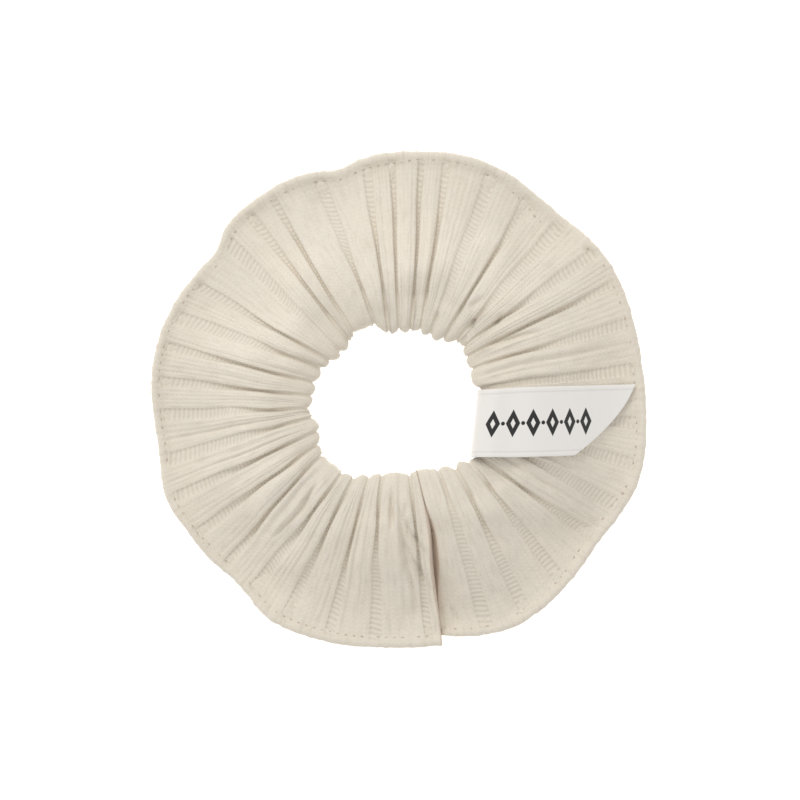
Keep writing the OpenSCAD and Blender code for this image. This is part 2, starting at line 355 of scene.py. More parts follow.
def ladder_lines(t):
    """Middle, half width (degrees) and closing (0 open, 1 slot) of each ladder at the walked lengths t."""
    inward, behind = shares(t)
    rim, hole, closes = np.array(LADDERS, float).T
    number = np.arange(len(LADDERS))
    bend = np.where(hole - rim > 12, 4.0, 1.6)
    middle = rim[:, None] + (hole - rim)[:, None] * inward ** bend[:, None]
    wander = drift(number[:, None] * 3.7, inward[None, :] * 4, 1, 5)
    middle = middle + 0.45 * wander * np.sin(np.pi * inward)
    closes_behind = np.random.default_rng(8).uniform(0.15, 0.7, len(LADDERS))
    front = ease(inward, closes[:, None] - 0.15, closes[:, None] + 0.22)
    back = ease(inward, closes_behind[:, None] - 0.15, closes_behind[:, None] + 0.22)
    closing = front * (1 - behind) + back * behind
    lips = through(LIP_RIGHT, inward), through(LIP_LEFT, inward)
    all_lines = np.vstack([lips[0], middle, lips[1]])
    gap = np.diff(all_lines, axis=0)
    room = np.minimum(gap[:-1], gap[1:])
    shut_half = 0.75 + 0.75 * ease(inward, 0.6, 1.0)
    open_half = 1.6 * np.clip(0.45 + closes, 0.5, 1.1)[:, None]
    half = np.minimum(open_half * (1 - closing) + shut_half * closing, 0.34 * room)
    return middle, half, closing, lips


def column_angles(middle, half, lips):
    """The edge lines of the blocks, and the angle of each column: shared out evenly between the lines on
    either side of it, and on the seam's walls by a quarter ellipse, whose turn comes back too."""
    bottom = (lips[0] + lips[1] - 360) / 2
    lines = [bottom, lips[0]]
    for i in range(len(LADDERS)):
        lines += [middle[i] - half[i], middle[i] + half[i]]
    lines = np.array(lines + [lips[1], bottom + 360])
    left, right = lines[BLOCK], lines[BLOCK + 1]
    turn = np.where(RIGHT_WALL, SHARE, 1 - SHARE) * np.pi / 2
    lateral = 0.35 * (1 - np.cos(turn)) + 0.65 * np.sin(turn)
    angle = np.where(RIGHT_WALL, left + (right - left) * lateral, left + (right - left) * SHARE)
    return lines, np.where(LEFT_WALL, right - (right - left) * lateral, angle), turn


def rib_form(t, lines, closed):
    """Each rib's chord in mm, how far it rounds down to its sides, and how far it sinks: more rounding the
    more its ladders have closed, and more sinking the less chord is left."""
    at_hole, _, _, free = zones(t)
    chord = (lines[RIBS + 1] - lines[RIBS]) * np.pi / 180 * cut_at(t)[0]
    luck = np.random.default_rng(3)
    roundness = luck.uniform(0.75, 1.15, len(RIBS))[:, None]
    rounding = RIB_FLAT * (1 - closed) + np.clip(0.38 * chord, 0, RIB_ROUND) * closed
    rounding = rounding * roundness * (0.15 + 0.85 * free)
    pinch = PINCH * (1 - ease(chord, 0.5, 2.0)) * (1 - 0.5 * at_hole)
    sink = free * (pinch + luck.uniform(0, 0.35, len(RIBS))[:, None] * closed)
    return chord, rounding, sink


def rib_relief(t, closed, chord, rounding, sink):
    """Height of the ribs over the cut: a power of the distance from the middle line, less a groove between
    wales (1 less a sine) and two deeper folds along each rib (bells) that grow towards the hole."""
    inward = shares(t)[0]
    at_hole, beneath, _, free = zones(t)
    relief = -rounding[RIB] * FROM_MIDDLE ** (3 - closed[RIB]) - sink[RIB] * (1 - FROM_MIDDLE**4)
    wale = np.abs(np.sin(np.pi * WALES * SHARE)) ** 0.9
    faint = np.random.default_rng(31).uniform(0.2, 2.0, (len(RIBS), WALES + 1))
    groove = WALE_DEEP * faint[RIB, np.round(WALES * SHARE[:, 0]).astype(int)][:, None] * (1 - wale)
    relief = relief - groove * (0.35 + 0.65 * free) * (1 - 0.8 * at_hole + 6 * beneath)
    for seed, mid, strong in ((41, 0.34, 0.6), (42, 0.67, 0.7)):
        start, force, spread = np.random.default_rng(seed).uniform(0, 1, (3, len(RIBS)))[:, :, None]
        at = mid + 0.16 * (start - 0.5) + 0.05 * drift(RIBS[:, None] * 5.1, inward * 4, 1, seed)
        fold = strong * (0.25 + force) * ease(inward, 0.7 * start - 0.1, 0.7 * start + 0.5) * free
        fold = fold * (1 - 0.75 * at_hole + 1.8 * beneath)
        width = 0.5 + 0.4 * spread
        off = (SHARE - at[RIB]) * chord[RIB] / width[RIB]
        relief = relief - fold[RIB] * np.exp(-(off**2))
    return relief


def ladder_relief(t, closing, rounding):
    """Height of the ladders over the cut: a straight line from the side of one rib to that of the next, less
    a hollow, flat-bottomed where the ladder is open and a deep slot where it has closed."""
    at_hole, beneath, mid_way, free = zones(t)
    shut = closing[LADDER]
    power = 6 * (1 - shut) + 2 * shut
    slot = SLOT_DEEP * (1 - 0.4 * at_hole + 0.25 * mid_way + 1.9 * beneath)
    deep = (LADDER_DEEP * (1 - shut) + slot * shut) * (0.12 + 0.88 * free)
    before, after = -rounding[LADDER], -rounding[np.clip(LADDER + 1, 0, len(RIBS) - 1)]
    return before * (1 - SHARE) + after * SHARE - deep * (1 - np.abs(2 * SHARE - 1) ** power)


def with_seam(relief, t, wall_turn):
    """The relief with the closing seam: its walls go down as a quarter ellipse, the right lip lies low and
    the left one high."""
    inward, behind = shares(t)
    deep = through(SEAM_DEEP, inward) * (1 - 0.6 * behind)
    at_lips = 1 - 0.85 * ease(inward, 0.55, 0.8)
    low = LIP_LOW * ease(inward, 0, 0.05) * at_lips
    high = LIP_HIGH * ease(inward, 0.02, 0.08) * at_lips
    wall = -deep * (0.35 * (1 - np.sin(wall_turn)) + 0.65 * np.cos(wall_turn))
    relief = np.where(RIGHT_WALL, wall - low, relief)
    relief = np.where(LEFT_WALL, wall + high * np.sin(wall_turn), relief)
    relief = np.where(RIGHT_LIP, relief - low * (1 - SHARE) ** 2, relief)
    return np.where(LEFT_LIP, relief + high * SHARE**2, relief)


def with_handling(relief, t, x, y):
    """The relief with what handling leaves: creases and swellings (bells), a soft rolling of the whole
    cloth, small unevenness, and the underside pressed in by the label's back leg."""
    z, behind = cut_at(t)[1], shares(t)[1]
    at_hole, _, _, free = zones(t)
    in_front = (1 - behind) * ease(z, 1.0, 3.0)
    for points, width, deep in CREASES:
        relief = relief - deep * crease(x, y, points, width) * in_front
    for centre, width, high in SWELLS:
        near = np.exp(-((x - centre[0]) ** 2 + (y - centre[1]) ** 2) / width**2)
        relief = relief + high * near * in_front
    rolling = 0.6 * drift(x + 200, y + 200, 7, 21) + 0.65 * drift(x + 200, y + 200, 13, 23) - 0.8
    relief = relief + rolling * free * ease(z, 1, 4)
    rough = 0.12 * drift(x + 200, y + 200, 2.5, 22) * (0.3 + 0.7 * free)
    relief = relief + rough * ease(z, 1, 4) * (1 - at_hole)
    by_leg = ease(x, 15, 19) * ease(44 - x, 0, 3) * ease(y + 15, 0, 2) * ease(5.5 - y, 0, 2)
    return relief - LABEL_PRESS * by_leg * ease(4.5 - z, 0, 3)


def cover_surface(t):
    """The cover's outer face at the walked lengths t, as a grid of points (rows t, columns round the ring),
    and its outward directions. A point's distance and height are the ring's cut stretched to the hole and
    rim at its angle, moved along the cut's outward direction by the relief: ribs that round up as they
    gather, ladders that sink into slots, the closing seam, handling, and the hem's stitch groove."""
    r, z, out_r, out_z = cut_at(t)
    middle, half, closing, lips = ladder_lines(t)
    lines, angle, wall_turn = column_angles(middle, half, lips)
    closed = np.vstack([closing[:1], closing, closing[-1:]])
    closed = (closed[:-1] + closed[1:]) / 2
    chord, rounding, sink = rib_form(t, lines, closed)
    on_rib = rib_relief(t, closed, chord, rounding, sink)
    relief = np.where(ON_RIB, on_rib, ladder_relief(t, closing, rounding))
    relief = with_seam(relief, t, wall_turn)

    place, radians = placed(r, angle), np.radians(angle)
    relief = with_handling(relief, t, place * np.cos(radians), place * np.sin(radians))
    stitch = np.exp(-(((through(RIM, angle) - place - through(FLANGE, angle)) / 0.4) ** 2))
    relief = relief - HEM_GROOVE * stitch * ease(r, 50, 54)

    away = place + relief * out_r
    away = away + 0.12 * drift(radians * 60, 9, 1.1, 51) * ease(r, 57, 59.5)
    high = z + through(LIFT, angle) * ease(r, 40, 60) + relief * out_z
    lean = 0.35 * drift(BLOCK[:, None] * 2.3, shares(t)[0] * 3, 1, 9) * closed[RIB] * ON_RIB
    turn = radians + lean * (1 - FROM_MIDDLE**2) / away
    grid, out = around(away, turn, np.maximum(high, 0.02)), around(out_r, turn, out_z)
    return grid.transpose(1, 0, 2), out.transpose(1, 0, 2)


def crease(x, y, points, width):
    """1 on the line through the points, falling as a bell of that half width, and 0 at its two ends."""
    points = np.array(points, float)
    long = np.r_[0, np.cumsum(np.hypot(*np.diff(points, axis=0).T))]
    best = np.full(np.shape(x), 1e9)
    at = np.zeros(np.shape(x))
    for a, b, start, end in zip(points[:-1], points[1:], long[:-1], long[1:]):
        d = b - a
        s = np.clip(((x - a[0]) * d[0] + (y - a[1]) * d[1]) / (d @ d), 0, 1)
        away = np.hypot(x - a[0] - s * d[0], y - a[1] - s * d[1])
        at = np.where(away < best, start + s * (end - start), at)
        best = np.minimum(best, away)
    ends = np.sin(np.pi * np.clip(at / long[-1], 0, 1)) ** 0.6
    return np.exp(-((best / width) ** 2)) * ends


def shown(name, data):
    """A new object of that name in the scene."""
    made = bpy.data.objects.new(name, data)
    bpy.context.scene.collection.objects.link(made)
    return made


def add_mesh(name, points, faces, material, uv=None, flat=()):
    """A mesh from points in mm and arrays of faces, each array with its own number of corners. uv has an
    array of corner places to match each array of faces. The arrays numbered in flat are shaded flat and
    have sharp edges, so that the faces beside them keep their own shading up to the edge."""
    mesh = bpy.data.meshes.new(name)
    sizes = np.concatenate([np.full(len(f), f.shape[1]) for f in faces])
    corners = np.concatenate([f.ravel() for f in faces])
    mesh.vertices.add(len(points))
    mesh.vertices.foreach_set("co", (np.asarray(points) * MM).astype(np.float32).ravel())
    mesh.loops.add(len(corners))
    mesh.loops.foreach_set("vertex_index", corners.astype(np.int32))
    mesh.polygons.add(len(sizes))
    mesh.polygons.foreach_set("loop_start", np.r_[0, np.cumsum(sizes)[:-1]].astype(np.int32))
    mesh.polygons.foreach_set("loop_total", sizes.astype(np.int32))
    smooth = np.concatenate([np.full(len(f), i not in flat) for i, f in enumerate(faces)])
    mesh.polygons.foreach_set("use_smooth", smooth)
    if uv is not None:
        layer = mesh.uv_layers.new(name="cloth")
        layer.data.foreach_set("uv", np.concatenate([u.reshape(-1) for u in uv]).astype(np.float32))
    mesh.update(calc_edges=True)
    mesh.validate()
    edges = np.zeros(len(corners), np.int32)
    mesh.loops.foreach_get("edge_index", edges)
    sharp = np.zeros(len(mesh.edges), bool)
    sharp[edges[np.repeat(~smooth, sizes)]] = True
    mesh.edges.foreach_set("use_edge_sharp", sharp)
    mesh.materials.append(material)
    return shown(name, mesh)


def cells(grid, flip=False):
    """The four corners of each cell of a grid of numbers or places, walked one way round or the other."""
    corners = [grid[:-1, :-1], grid[:-1, 1:], grid[1:, 1:], grid[1:, :-1]]
    if flip:
        corners = corners[:1] + corners[:0:-1]
    return np.stack(corners, axis=2).reshape(-1, 4, *grid.shape[2:])


def closed_rows(grid, start=0):
    """The numbers of the points of a grid whose rows run round, with the first column's at the end too."""
    number = start + np.arange(grid[..., 0].size).reshape(grid.shape[:2])
    return np.concatenate([number, number[:, :1]], axis=1)


def borders(fine, coarse):
    """Many-sided faces that join the first and the last row of a fine grid to those of a coarse one."""
    spans = np.arange(coarse.shape[1] - 1)[:, None] * COARSE + np.arange(COARSE + 1)[None, :]
    pair = np.stack([coarse[0, :-1], coarse[0, 1:]], axis=1)
    first = np.concatenate([fine[0][spans][:, ::-1], pair], axis=1)
    pair = np.stack([coarse[-1, 1:], coarse[-1, :-1]], axis=1)
    return [first, np.concatenate([fine[-1][spans], pair], axis=1)]


def cloth_places(t):
    """Places on the cloth, with one column more than the cover's grid: across in repeats of the rib, as a
    share of all repeats, and along the strip's width."""
    count = len(LADDERS)
    share = SHARE[:, 0]
    on_ladder = (BLOCK - 2) / 2 + HALF_LADDER * (2 * share - 1)
    on_rib = (BLOCK - 3) / 2 + HALF_LADDER + RIB_SHARE * share
    across = np.where(BLOCK % 2 == 1, on_rib, on_ladder)
    across = np.where(BLOCK == 0, HALF_LADDER - 1, across)
    lip = count - 1 + HALF_LADDER
    across = np.where(BLOCK == len(BLOCKS) - 2, lip + LIP_SHARE * share, across)
    across = np.where(BLOCK == len(BLOCKS) - 1, lip + LIP_SHARE, across)
    u = (np.r_[across, lip + LIP_SHARE] + 1) / (count + 1)
    return np.stack(np.broadcast_arrays(u, (t / UV_MM)[:, None]), axis=-1)


def cover_piece(name, t, material):
    """A closed piece of the cover between the first and last walked length: the outer face, a coarser
    inner face one cloth thickness inside it, and a narrow rim of many-sided faces that joins them."""
    outer, out = cover_surface(t)
    pick = np.unique(np.round(np.linspace(0, len(t) - 1, len(t) // 3)).astype(int))
    inner = (outer - CLOTH_T * out)[pick][:, ::COARSE]
    points = np.concatenate([outer.reshape(-1, 3), inner.reshape(-1, 3)])

    fine, coarse = closed_rows(outer), closed_rows(inner, start=outer[..., 0].size)
    faces = [cells(fine), cells(coarse, flip=True)] + borders(fine, coarse)

    fine = cloth_places(t)
    coarse = np.concatenate([fine[pick][:, :-1:COARSE], fine[pick][:, -1:]], axis=1)
    places = [cells(fine), cells(coarse, flip=True)] + borders(fine, coarse)
    return add_mesh(name, points, faces, material, places, flat=(2, 3)), outer


def spaced_rows(*stops):
    """Walked lengths through the stops: a length first, and then pairs of a length and the step up to it."""
    rows = [np.array([stops[0]])]
    for (end, step), start in zip(stops[1:], [stops[0]] + [s[0] for s in stops[1:-1]]):
        count = max(1, int(round((end - start) / step)))
        rows.append(np.linspace(start, end, count + 1)[1:])
    return np.concatenate(rows)


def along_hem(outer, t, pitch):
    """Points one pitch apart along the hem's stitch line on a grid of the cover, and the way they run."""
    r = cut_at(t)[0][:, None]
    angle = np.degrees(np.arctan2(outer[:, :, 1], outer[:, :, 0]))
    angle = np.where(angle < -80, angle + 360, angle)
    inset = through(RIM, angle) - placed(r, angle)
    miss = np.abs(inset - through(FLANGE, angle)) + np.where(r < 50, 99, 0)
    line = outer[miss.argmin(axis=0), np.arange(outer.shape[1])]
    line = line[BLOCKS[0] : -BLOCKS[-1]]
    near = np.stack([np.convolve(line[:, k], np.ones(9) / 9, mode="valid") for k in range(3)], axis=1)
    long = np.r_[0, np.cumsum(np.linalg.norm(np.diff(near, axis=0), axis=1))]
    at = np.arange(pitch, long[-1] - pitch / 2, pitch)
    spot = np.stack([np.interp(at, long, near[:, k]) for k in range(3)], axis=1)
    ahead = np.stack([np.interp(at + 0.4, long, near[:, k]) for k in range(3)], axis=1)
    way = ahead - spot
    return spot, way / np.linalg.norm(way, axis=1)[:, None]


def stitches(name, spots, ways, length, radius, material):
    """Short rounded bars of thread, one at each spot along its way. A bar is a ball stretched along the way:
    rings at the cosine of an angle, as wide as the square root of its sine, and a point at each end."""
    sides, rings = 8, 5
    up = np.cross(ways, np.cross([0.0, 0.0, 1.0], ways))
    up = up / np.linalg.norm(up, axis=1)[:, None]
    side = np.cross(ways, up)
    polar = np.linspace(0, np.pi, rings + 2)[1:-1]
    round_ = np.arange(sides) * 2 * np.pi / sides
    along = -np.cos(polar)[:, None] * length / 2 + 0 * round_[None, :]
    wide = np.sqrt(np.sin(polar))[:, None] * radius
    a = (wide * np.cos(round_)).ravel()
    b = (wide * np.sin(round_)).ravel()
    tips = np.array([[-length / 2, 0, 0], [length / 2, 0, 0]])
    local = np.concatenate([tips[:1], np.stack([along.ravel(), a, b], 1), tips[1:]])
    axes = np.stack([ways, side, up], axis=1)
    points = spots[:, None, :] + np.einsum("kc,ncd->nkd", local, axes)
    ring = 1 + np.arange(rings * sides).reshape(rings, sides)
    wrap = np.concatenate([ring, ring[:, :1]], axis=1)
    tip = rings * sides + 1
    start = np.stack([np.zeros(sides, int), wrap[0, 1:], wrap[0, :-1]], axis=1)
    end = np.stack([wrap[-1, :-1], wrap[-1, 1:], np.full(sides, tip)], axis=1)
    shift = (np.arange(len(spots)) * len(local))[:, None, None]
    many = [(f[:, ::-1] + shift).reshape(-1, f.shape[1]) for f in (cells(wrap), start, end)]
    return add_mesh(name, points.reshape(-1, 3), many, material)


# ---- materials


def operator(operation, turned=False):
    """A method that adds one maths node, with its own value first, or last where turned."""

    def method(self, *other):
        values = (self, *other)
        return self.paint.maths(operation, *(values[::-1] if turned else values))

    return method


class Value:
    """A number inside a material, so that its maths is written with plain operators."""

    def __init__(self, paint, socket):
        self.paint, self.socket = paint, socket

    __add__, __radd__ = operator("ADD"), operator("ADD", turned=True)
    __sub__, __rsub__ = operator("SUBTRACT"), operator("SUBTRACT", turned=True)
    __mul__, __rmul__ = operator("MULTIPLY"), operator("MULTIPLY", turned=True)
    __truediv__, __rtruediv__ = operator("DIVIDE"), operator("DIVIDE", turned=True)
    __pow__, __abs__ = operator("POWER"), operator("ABSOLUTE")


class Paint:
    """A material and short ways to add nodes to it."""

    def __init__(self, name):
        self.material = bpy.data.materials.new(name)
        self.material.use_nodes = True
        self.tree = self.material.node_tree
        self.shader = self.tree.nodes["Principled BSDF"]

    def feed(self, slot, value):
        """Link a node's output to the slot, or set the slot to a plain number or colour."""
        value = value.socket if isinstance(value, Value) else value
        if isinstance(value, bpy.types.NodeSocket):
            self.tree.links.new(value, slot)
        else:
            slot.default_value = value

    def node(self, kind, settings=None, **inputs):
        """A new node with its settings and inputs, whose names have _ for a space."""
        made = self.tree.nodes.new(kind)
        for key, value in (settings or {}).items():
            setattr(made, key, value)
        for key, value in inputs.items():
            self.feed(made.inputs[key.replace("_", " ")], value)
        return made

    def maths(self, operation, *values):
        """One maths node on the values."""
        made = self.node("ShaderNodeMath", {"operation": operation})
        for slot, value in zip(made.inputs, values):
            self.feed(slot, value)
        return Value(self, made.outputs[0])

    def mix(self, share, first, second):
        """The first colour at share 0, the second at 1, and a straight mix between."""
        made = self.node("ShaderNodeMix", {"data_type": "RGBA"})
        for slot, value in ((0, share), (6, first), (7, second)):
            self.feed(made.inputs[slot], value)
        return made.outputs[2]

    def between(self, value, low, high):
        """0 where value is at low or less, 1 at high or more, eased between. low may be above high."""
        made = self.node("ShaderNodeMapRange", {"interpolation_type": "SMOOTHSTEP"})
        for name, x in (("Value", value), ("From Min", low), ("From Max", high)):
            self.feed(made.inputs[name], x)
        return Value(self, made.outputs[0])

    def cloth(self):
        """Place on the cloth: its two parts."""
        place = self.node("ShaderNodeUVMap", {"uv_map": "cloth"}).outputs[0]
        parts = self.node("ShaderNodeSeparateXYZ", Vector=place)
        return Value(self, parts.outputs[0]), Value(self, parts.outputs[1])

    def spot(self):
        """Place in space, in metres."""
        return self.node("ShaderNodeTexCoord").outputs["Object"]

    def noise(self, scale, detail=3.0, vector=None):
        """Random cloud between 0 and 1 with scale hills a metre, and detail finer layers."""
        made = self.node("ShaderNodeTexNoise", Vector=vector or self.spot(), Scale=scale, Detail=detail)
        return Value(self, made.outputs[0])

    def bump(self, height_mm, strength=1.0):
        """Light the surface as if it were raised by the height."""
        made = self.node("ShaderNodeBump", Strength=strength, Distance=MM, Height=height_mm)
        self.feed(self.shader.inputs["Normal"], made.outputs[0])

    def set(self, **inputs):
        """Feed the shader's inputs, whose names have _ for a space."""
        for key, value in inputs.items():
            self.feed(self.shader.inputs[key.replace("_", " ")], value)
        return self.material


def srgb(red, green, blue):
    """A colour as it is read off a screen, turned into light."""
    c = np.array([red, green, blue]) / 255
    light = np.where(c <= 0.04045, c / 12.92, ((c + 0.055) / 1.055) ** 2.4)
    return (*light.tolist(), 1.0)


def rib_knit():
    """Cream cotton rib knit: purl rungs in the ladders, rows of small loops on the ribs, soft fuzz, with
    painted shade in the gaps between rungs and between loops and on the walls of the closing seam.
    """
    p = Paint("rib knit")
    across, along = p.cloth()
    repeats = across * (len(LADDERS) + 1) - 1
    course = along * (UV_MM / COURSE)
    from_ladder = p.maths("FRACT", repeats + 100.5) - 0.5
    length = along * UV_MM
    edge = p.maths("MINIMUM", length, T_END - length)
    ladder = p.between(abs(from_ladder), 0.2, 0.175) * p.between(edge, 2.2, 3.2)
    ladder = ladder * (1 - 0.75 * p.between(length, T_CROWN - 8, T_CROWN + 3))
    arch = (from_ladder * (1 / HALF_LADDER)) ** 2 * 0.03 + from_ladder * 1.1
    rung = p.maths("SINE", (course + arch + p.noise(500, 2) * 0.5) * (2 * np.pi)) * 0.5 + 0.5
    wale = (p.maths("FRACT", repeats + 100) - HALF_LADDER) * (WALES / RIB_SHARE)
    beside = abs(p.maths("FRACT", wale) - 0.5)
    loop = p.maths("SINE", (course + beside * 1.3) * (2 * np.pi)) * 0.5 + 0.5
    fuzz = p.noise(2600, 4)
    cloud = p.noise(55, 2)
    tone = p.noise(420, 3)
    height = ladder * rung * 0.13 + (1 - ladder) * loop * 0.045 + fuzz * 0.12 + tone * 0.15
    p.bump(height, 0.8)
    # Painted shade: darker colour in the gaps between the purl rungs and between the loops, where shadow
    # falls, plus random fuzz tone
    gap_shade_and_fuzz = ladder * (1 - rung) ** 2 * 0.17 + (1 - ladder) * (1 - loop) * 0.03 + (0.5 - fuzz) * 0.14
    base = p.mix(p.between(cloud, 0.38, 0.62), srgb(229, 220, 204), srgb(226, 218, 203))
    base = p.mix(p.between(tone, 0.4, 0.75), base, srgb(230, 221, 207))
    fibre = p.node("ShaderNodeCombineXYZ", X=repeats * 14, Y=along * 22).outputs[0]
    streak = p.noise(1.0, 4, fibre)
    base = p.mix(p.between(streak, 0.45, 0.8) * (1 - ladder) * 0.5, base, srgb(205, 195, 179))
    base = p.mix(p.between(edge, 1.8, 0.2) * 0.4, base, srgb(214, 201, 188))
    # Painted shade: the walls of the closing seam are tinted brownish, for the dim light bounced about deep
    # in the cleft
    right_wall = p.between(repeats, HALF_LADDER - 0.97, HALF_LADDER - 1)
    left_lip = len(LADDERS) - 1 + HALF_LADDER + LIP_SHARE
    left_wall = p.between(repeats, left_lip - 0.04, left_lip)
    seam_wall_shade = p.maths("MAXIMUM", right_wall, left_wall)
    base = p.mix(seam_wall_shade * 0.5, base, srgb(216, 192, 170))
    dark = p.mix(p.maths("MAXIMUM", gap_shade_and_fuzz, 0), base, srgb(120, 104, 86))
    return p.set(Base_Color=dark, Roughness=0.92, Sheen_Weight=0.25, Sheen_Roughness=0.6)


def satin():
    """White woven satin ribbon with a selvedge line near each edge and a row of black lozenges."""
    p = Paint("satin ribbon")
    along, across = p.cloth()
    x, y = along * UV_MM, across * LABEL_UV - LABEL_UV / 2
    weave = p.maths("SINE", x * (2 * np.pi / 0.35)) * 0.5 + 0.5
    selvedge = p.between(abs(abs(y) - 7.0), 0.28, 0.12)
    height = weave * 0.012 - selvedge * 0.05 + p.noise(1500, 2) * 0.02
    p.bump(height, 0.7)
    start, pitch, count = 35.6, 4.9, 6
    turn = (x - start) / pitch
    half = pitch * count / 2
    from_row = abs(x - start - half)
    from_line = abs(y + 0.2)
    beside = (p.maths("FRACT", turn + 100) - 0.5) * pitch
    inside = p.between(from_row, half, half - 0.05)
    lozenge = p.between(abs(beside) / 1.75 + from_line / 3.3, 1.03, 0.97)
    hollow = p.between(abs(beside) / 0.6 + from_line / 1.2, 0.95, 1.05)
    gap = (p.maths("FRACT", turn + 100.5) - 0.5) * pitch
    dot = p.between((gap**2 + from_line**2) ** 0.5, 0.52, 0.44)
    whole = p.between(from_row, half - 0.7, half - 0.8)
    ink = p.maths("MAXIMUM", inside * lozenge * hollow, whole * dot)
    cloth = p.mix(selvedge * 0.35, srgb(236, 233, 229), srgb(212, 209, 204))
    colour = p.mix(ink, cloth, srgb(30, 29, 29))
    return p.set(Base_Color=colour, Roughness=0.42, Sheen_Weight=0.1)


def thread():
    """Sewing thread a shade pinker and darker than the knit."""
    p = Paint("sewing thread")
    place = p.node("ShaderNodeSeparateXYZ", Vector=p.spot())
    x, y = Value(p, place.outputs[0]), Value(p, place.outputs[1])
    ply = 0.6 * MM
    twist = p.maths("SINE", (x + y) * (2 * np.pi / ply)) * 0.5 + 0.5
    p.bump(twist * 0.05, 0.6)
    return p.set(Base_Color=p.mix(twist, srgb(190, 174, 158), srgb(213, 200, 184)), Roughness=0.8)


def braid():
    """Braided white elastic: raised lengthwise cords crossed by fine yarns."""
    p = Paint("braided elastic")
    along, across = p.cloth()
    cords, yarns = 8, 270
    cord = abs(p.maths("SINE", across * (np.pi * cords)))
    yarn = p.maths("SINE", (along * yarns + cord * 0.4) * (2 * np.pi))
    p.bump(cord * 0.12 + yarn * 0.03, 0.8)
    colour = p.mix(cord, srgb(205, 200, 190), srgb(236, 233, 226))
    return p.set(Base_Color=colour, Roughness=0.75)


def table_top():
    """Plain near-white table, lit through a little from below."""
    p = Paint("table")
    return p.set(
        Base_Color=srgb(246, 246, 246),
        Roughness=0.9,
        Specular_IOR_Level=0.0,
        Emission_Color=(1, 1, 1, 1),
        Emission_Strength=0.6,
    )


knit, ribbon, yarn, rubber = rib_knit(), satin(), thread(), braid()

# ---- cover

front_rows = spaced_rows(
    0, (1.6, 0.4), (5.0, 0.6), (T_CROWN - 4, 1.1), (T_HOLE + 1, 0.8), (T_HOLE + 6, 1.0), (T_SPLIT, 1.4)
)
back_rows = spaced_rows(T_SPLIT, (T_END - 9, 1.2), (T_END - 4, 0.8), (T_END, 0.5))
cover, front_grid = cover_piece("knit_cover_front", front_rows, knit)
cover_back, back_grid = cover_piece("knit_cover_back", back_rows, knit)

spots, ways = along_hem(front_grid, front_rows, HEM_PITCH)
sunk = np.random.default_rng(61).uniform(0.0, 0.3, (len(spots), 1))
topstitch = stitches("rim_topstitch_front", spots - sunk * [0, 0, 1], ways, 0.75, 0.23, yarn)
spots, ways = along_hem(back_grid, back_rows, HEM_PITCH)
understitch = stitches("rim_topstitch_back", spots - [0, 0, 0.02], ways, 1.7, 0.17, yarn)

# ---- elastic


def bar_outline():
    """The elastic's cut, in thickness and height about its middle: a rectangle with round corners, whose
    sides are a cosine and a sine drawn out by a small power."""
    corner = np.linspace(0, 2 * np.pi, 33)[:-1]
    c, s = np.cos(corner), np.sin(corner)
    return np.sign(c) * np.abs(c) ** 0.35 * BAND_T / 2, np.sign(s) * np.abs(s) ** 0.35 * BAND_W / 2


def elastic_loop():
    """The flat elastic bent to a ring that follows the hole: its cut at the ring's distance from the middle
    at each degree. The distance comes back too."""
    angle = np.radians(np.arange(360))
    hole_r = through(HOLE, (np.arange(360) + 80) % 360 - 80)
    fit = np.convolve(np.r_[hole_r[-20:], hole_r, hole_r[:20]], np.ones(41) / 41, mode="valid")
    mid = BAND_R + 0.35 * (fit - FIT_R)
    flat, tall = bar_outline()
    grid = around(mid[:, None] + flat, angle[:, None], BAND_MID + tall)
    wrap = closed_rows(grid)
    wrap = np.concatenate([wrap, wrap[:1]])
    place = np.stack(np.meshgrid(np.linspace(0, 1, 361), np.linspace(0, 1, 33), indexing="ij"), -1)
    return add_mesh("elastic_loop", grid.reshape(-1, 3), [cells(wrap)], rubber, [cells(place)]), mid


def elastic_lap():
    """The elastic's outer end over the lap: the same cut along the lap's arc, closed at both ends by drawing
    its last rings together."""
    reach = LAP_LONG / LAP_R / 2
    angle = np.pi + np.linspace(-reach, reach, 31)
    close = np.sqrt(np.clip(1 - np.abs(np.linspace(-1.02, 1.02, 31)) ** 24, 0.0, 1))
    flat, tall = bar_outline()
    mid = np.interp(np.degrees(angle), np.arange(360), band_r) + BAND_T + 0.02
    close = close[:, None]
    grid = around(mid[:, None] + flat * close, angle[:, None], BAND_MID + tall * (0.9 + 0.1 * close))
    wrap = closed_rows(grid)
    caps = np.stack([wrap[0, -2::-1], wrap[-1, :-1]])
    return add_mesh("elastic_lap_end", grid.reshape(-1, 3), [cells(wrap), caps], rubber, None, flat=(1,))


band, band_r = elastic_loop()
lap = elastic_lap()

# ---- label


def label_path():
    """The ribbon's side view as a walked line: in along the table under the ring, a quarter circle, up the
    hole's edge, a quarter ellipse over it, and from there eased down onto the front, on top of the ribs."""
    turn = np.linspace(0, np.pi / 2, 20)
    sole = 0.32
    heel_x = UPRIGHT_X + HEEL_R
    under = np.linspace(LEG_END, heel_x, 30)
    over = np.linspace(23.6, 62, 120)
    settle = ease(over, 23, 31)
    lying = front_height(np.hypot(over, 4.0)) + 0.62
    leaving = UPRIGHT_TOP + BEND_UP + 0.02 * (over - 22.6)
    pieces = [
        (under, np.full(30, sole)),
        (heel_x - HEEL_R * np.sin(turn), sole + HEEL_R * (1 - np.cos(turn))),
        (np.full(20, UPRIGHT_X), np.linspace(1.7, UPRIGHT_TOP, 20)),
        (UPRIGHT_X + BEND_OUT * (1 - np.cos(turn)), UPRIGHT_TOP + BEND_UP * np.sin(turn)),
        (over, leaving * (1 - settle) + lying * settle),
    ]
    return walked(pieces)


